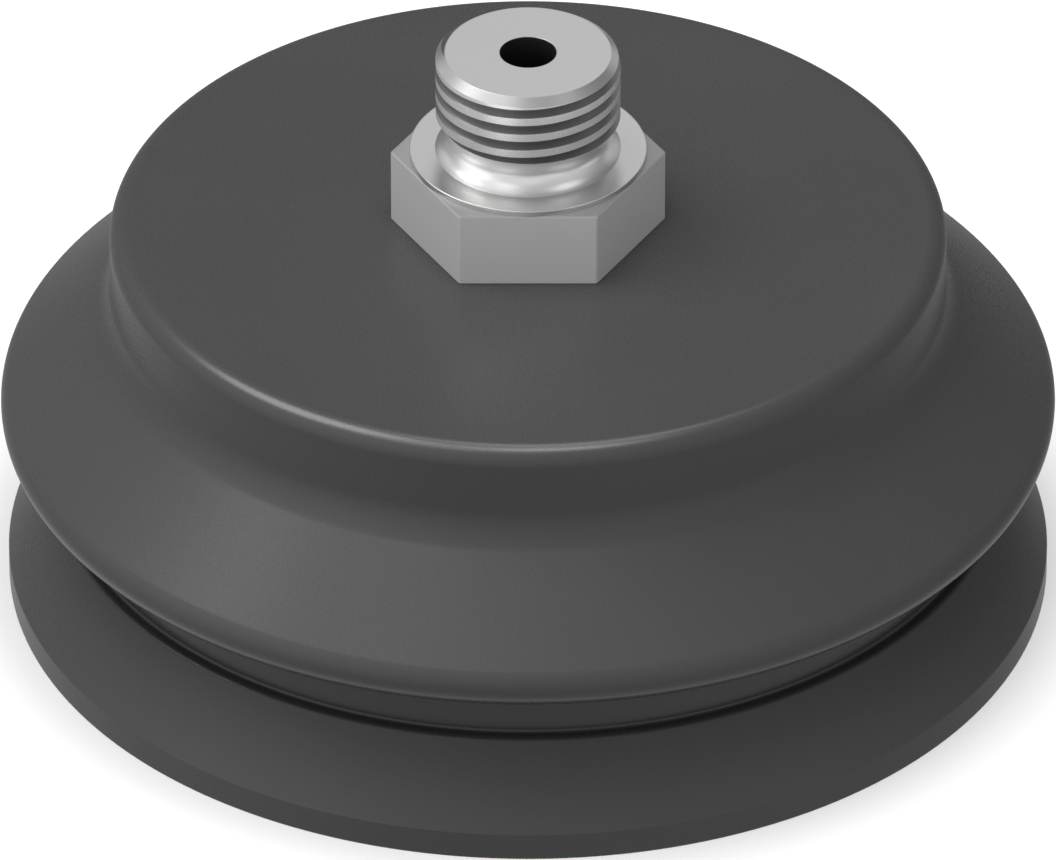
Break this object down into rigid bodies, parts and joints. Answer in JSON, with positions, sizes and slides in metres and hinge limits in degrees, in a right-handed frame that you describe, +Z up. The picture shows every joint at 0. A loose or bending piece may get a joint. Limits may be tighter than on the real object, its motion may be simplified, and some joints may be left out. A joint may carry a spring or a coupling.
{
  "type": "bellows suction cup",
  "caption": "Round rubber bellows suction cup with one and a half folds, and a hollow aluminium fitting with a male pipe thread and a hexagon.",
  "frame": {"origin": "centre of the sealing plane under the lip, on the cup's axis", "axes": "+Z up the cup's axis, out of the threaded end; one flat of the hexagon faces -Y"},
  "size_m": [0.0758, 0.0758, 0.0436],
  "materials": {
    "nitrile_rubber": "matte, moulded",
    "turned_aluminium": "satin, turned and milled",
    "plate_aluminium": "satin, rolled",
    "nut_steel": "satin, zinc plated"
  },
  "bodies": {
    "root": {"bellows_cup": "nitrile_rubber", "threaded_fitting": "turned_aluminium", "support_plate": "plate_aluminium", "clamp_nut": "nut_steel"}
  },
  "joints": []
}
